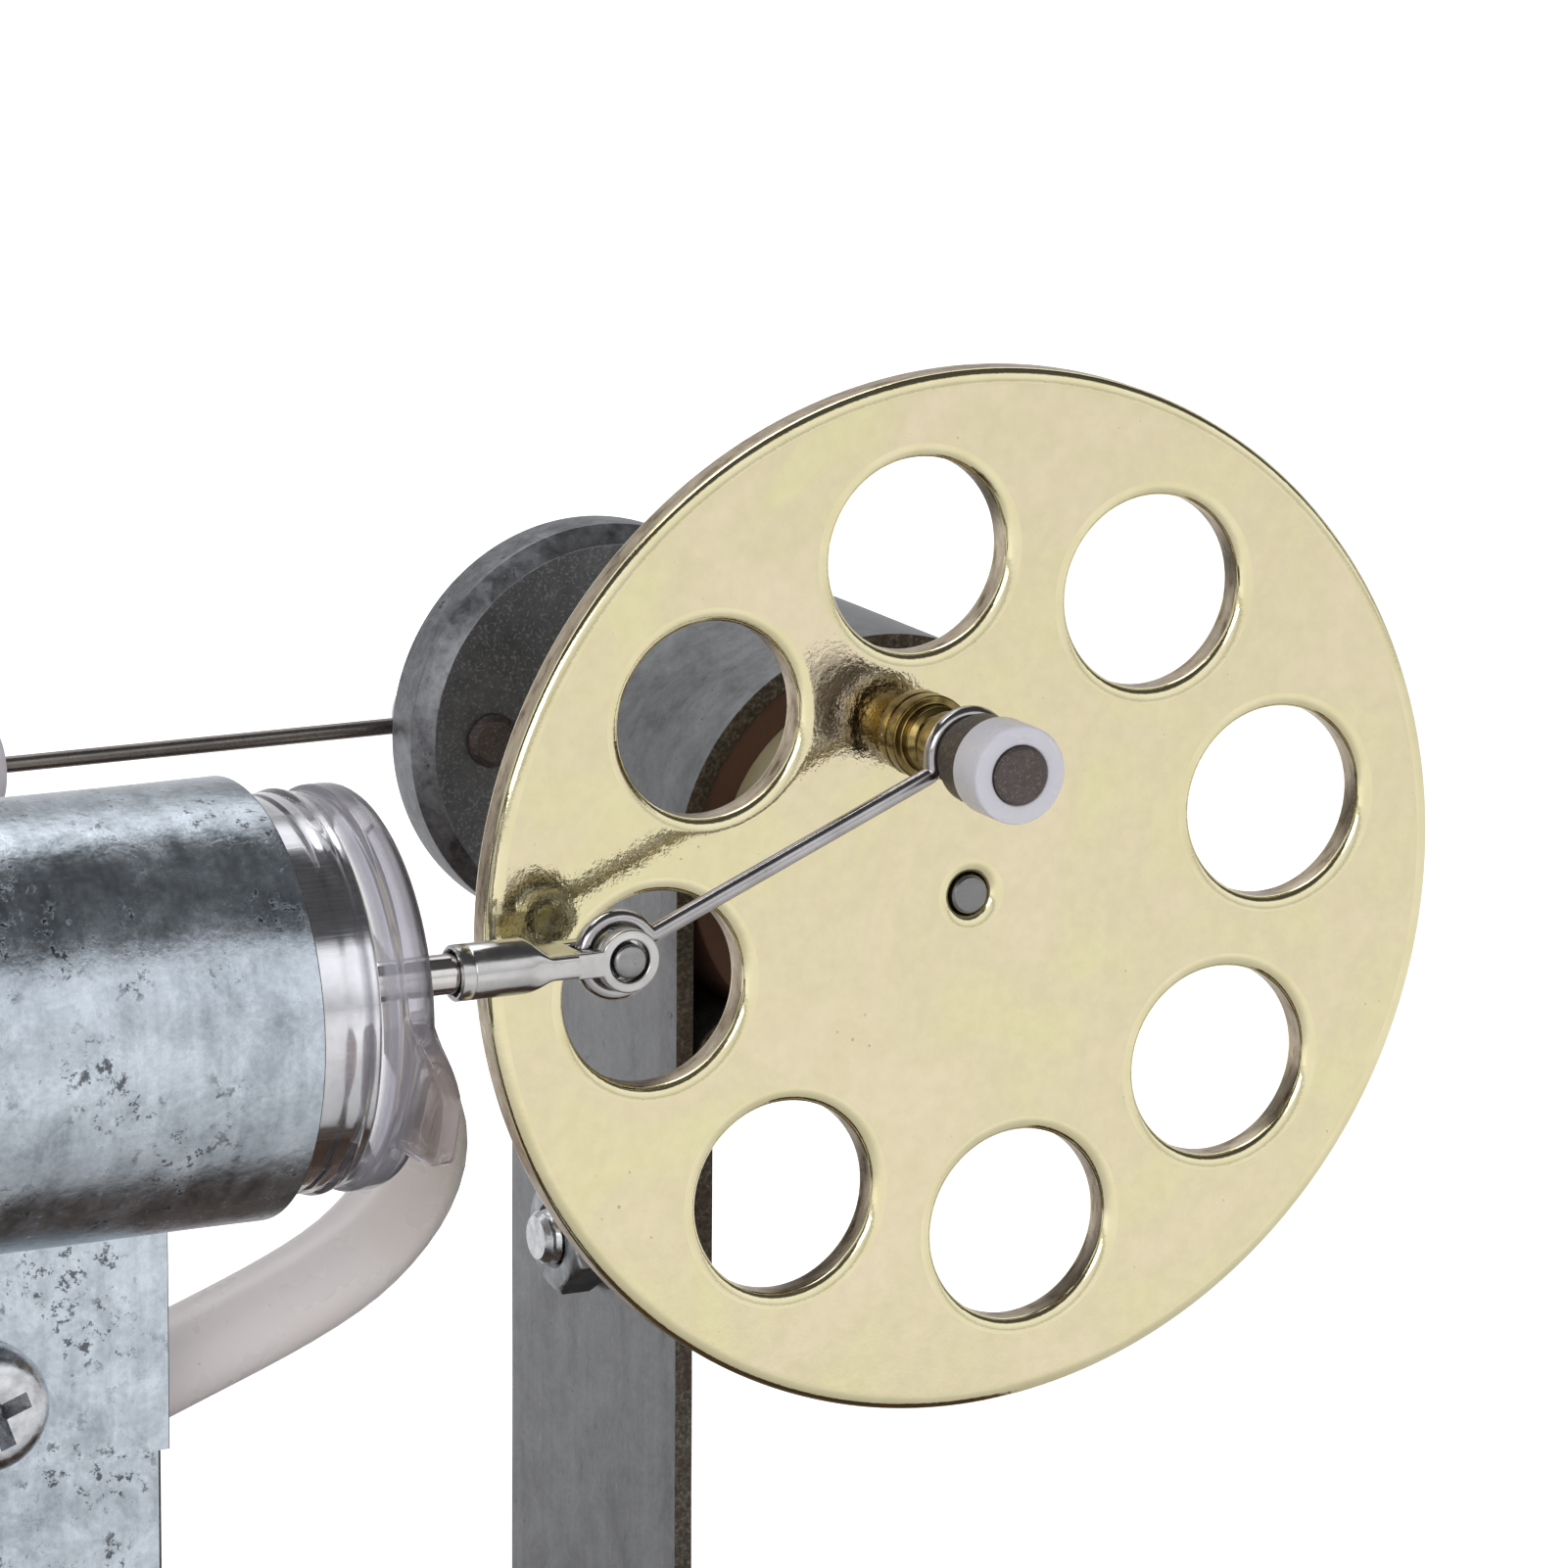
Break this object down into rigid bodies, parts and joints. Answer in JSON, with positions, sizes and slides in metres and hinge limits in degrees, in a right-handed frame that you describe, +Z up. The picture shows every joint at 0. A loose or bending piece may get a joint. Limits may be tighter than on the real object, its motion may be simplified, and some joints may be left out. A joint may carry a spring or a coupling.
{
  "type": "tabletop hot-air engine",
  "caption": "Tabletop hot-air engine: glass displacer tube and glass power cylinder on bent strip posts over a wooden board, driving a shared crankshaft and a pierced flywheel.",
  "frame": {"origin": "centre of the wooden board's underside", "axes": "+Z up, +X along the cylinders towards the flywheel, +Y from the power side to the displacer side"},
  "size_m": [0.18, 0.09, 0.107],
  "materials": {
    "wood": "dark oiled board, fine grain",
    "galvanised": "hot-dip zinc strip, mottled, satin, sheared edges browned",
    "zinc_fasteners": "bright zinc plate",
    "fibre_liner": "dark brown vulcanised fibre, matte",
    "nylon": "natural nylon, slightly translucent",
    "glass": "clear drawn glass",
    "stopper_rubber": "grey silicone rubber, satin",
    "turned_brass": "turned brass, polished",
    "silicone": "milky translucent silicone, satin",
    "wheel_brass": "pale brass plate, glossy with fine pits",
    "bright_steel": "ground and polished steel",
    "dark_steel": "blackened steel, dull",
    "nickel": "satin nickel plate",
    "aluminium": "spun aluminium, satin"
  },
  "bodies": {
    "stand": {"base_board": "wood", "foot_screws": "zinc_fasteners", "bearing_post": "galvanised", "bearing_post_screw": "zinc_fasteners", "bearing_post_nut": "zinc_fasteners", "bearing_liner": "fibre_liner", "bearing_bush": "nylon", "power_post": "galvanised", "power_post_screw": "zinc_fasteners", "power_post_nut": "zinc_fasteners", "power_cylinder": "glass", "displacer_post": "galvanised", "displacer_post_screw": "zinc_fasteners", "displacer_post_nut": "zinc_fasteners", "displacer_tube": "glass", "stopper": "stopper_rubber", "rod_guide": "turned_brass", "hose_nipple": "turned_brass", "transfer_hose": "silicone"},
    "wheel": {"flywheel": "wheel_brass", "flywheel_hub": "turned_brass", "hub_grub_screw": "dark_steel", "crankshaft": "bright_steel", "front_spacer": "turned_brass", "rear_spacer": "turned_brass", "crank_stud": "turned_brass", "crank_disc": "dark_steel", "displacer_crank_stud": "dark_steel"},
    "piston": {"power_piston": "bright_steel", "piston_rod": "bright_steel", "clevis": "nickel", "clevis_pin": "nickel"},
    "power_rod": {"power_con_rod": "bright_steel", "power_crank_screw": "dark_steel", "power_pin_collar": "dark_steel", "power_pin_sleeve": "silicone"},
    "displacer": {"displacer_can": "aluminium", "displacer_cap": "aluminium", "displacer_rod": "bright_steel", "joint_ferrule": "turned_brass", "joint_sleeve": "silicone"},
    "cold_rod": {"displacer_con_rod": "bright_steel", "displacer_crank_screw": "dark_steel", "displacer_pin_sleeve": "silicone"}
  },
  "joints": [
    {"name": "flywheel_spin", "type": "hinge", "parent": "stand", "child": "wheel", "pos_m": [0.062, -0.021, 0.08], "axis": [0, 1, 0], "continuous": true},
    {"name": "power_piston_slide", "type": "slide", "parent": "stand", "child": "piston", "axis": [1, 0, 0], "range_m": [-0.0079, 0.0101]},
    {"name": "power_rod_swing", "type": "hinge", "parent": "piston", "child": "power_rod", "pos_m": [0.0398, -0.0257, 0.0803], "axis": [0, -1, 0], "range_deg": [-49.2, 1.3]},
    {"name": "displacer_slide", "type": "slide", "parent": "stand", "child": "displacer", "axis": [1, 0, 0], "range_m": [0, 0.014]},
    {"name": "displacer_rod_swing", "type": "hinge", "parent": "displacer", "child": "cold_rod", "pos_m": [0.0255, 0.027, 0.08015], "axis": [0, -1, 0], "range_deg": [-14, 13.4]}
  ]
}
